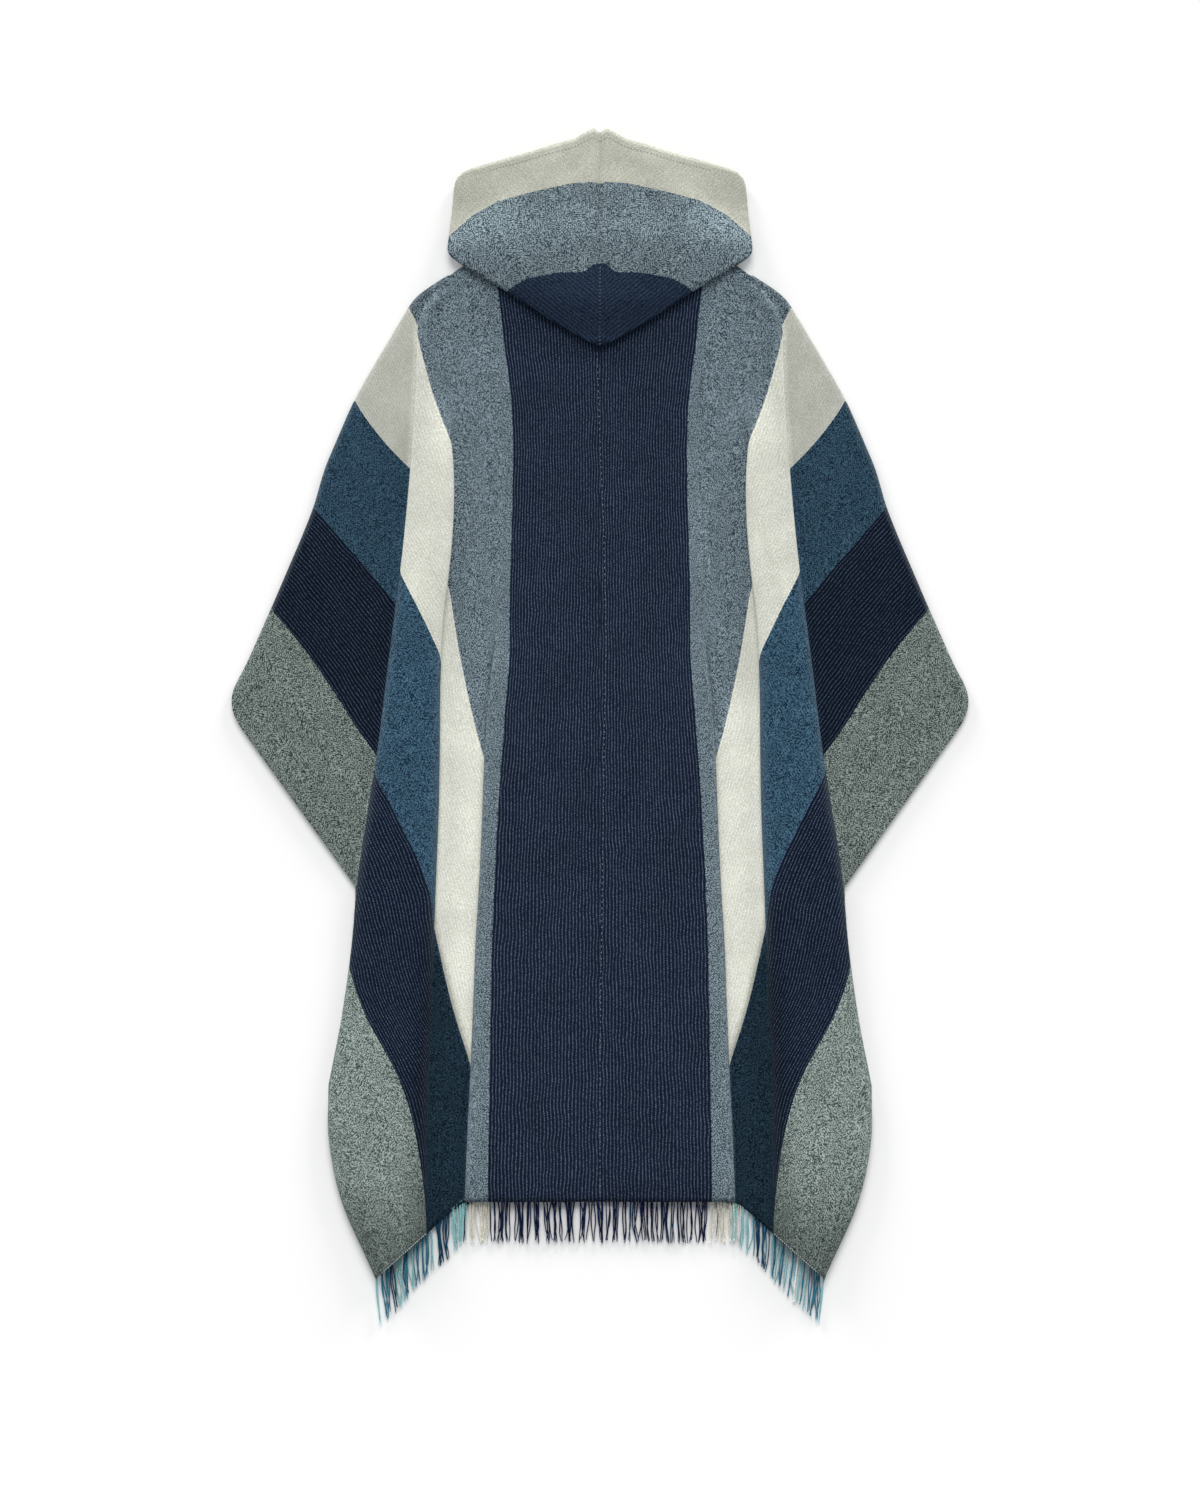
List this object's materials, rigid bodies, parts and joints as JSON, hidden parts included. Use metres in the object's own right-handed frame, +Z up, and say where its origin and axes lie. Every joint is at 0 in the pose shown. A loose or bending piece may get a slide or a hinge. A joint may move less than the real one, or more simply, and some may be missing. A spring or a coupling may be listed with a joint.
{
  "type": "andean poncho",
  "caption": "Hooded, striped wool poncho with a fringed hem, laid out flat with its back up, sides folded in and hood down.",
  "frame": {"origin": "on the surface, under the middle of the laid garment's box", "axes": "+Z up from the surface, +Y towards the hood, +X across to the right seen from above"},
  "size_m": [0.738, 1.1986, 0.0209],
  "materials": {
    "striped_wool": "matt brushed wool weave in navy, grey, cream and petrol blue stripes",
    "fringe_yarn": "matt twisted wool yarn in navy, cream and blue"
  },
  "bodies": {
    "root": {"left_front": "striped_wool", "right_front": "striped_wool", "left_wing": "striped_wool", "right_wing": "striped_wool", "left_back": "striped_wool", "right_back": "striped_wool", "left_hood": "striped_wool", "right_hood": "striped_wool", "left_fringe_centre": "fringe_yarn", "right_fringe_centre": "fringe_yarn", "left_fringe_valley": "fringe_yarn", "right_fringe_valley": "fringe_yarn", "left_fringe_side": "fringe_yarn", "right_fringe_side": "fringe_yarn", "left_fringe_front_centre": "fringe_yarn", "right_fringe_front_centre": "fringe_yarn", "left_fringe_front_side": "fringe_yarn", "right_fringe_front_side": "fringe_yarn"}
  },
  "joints": []
}
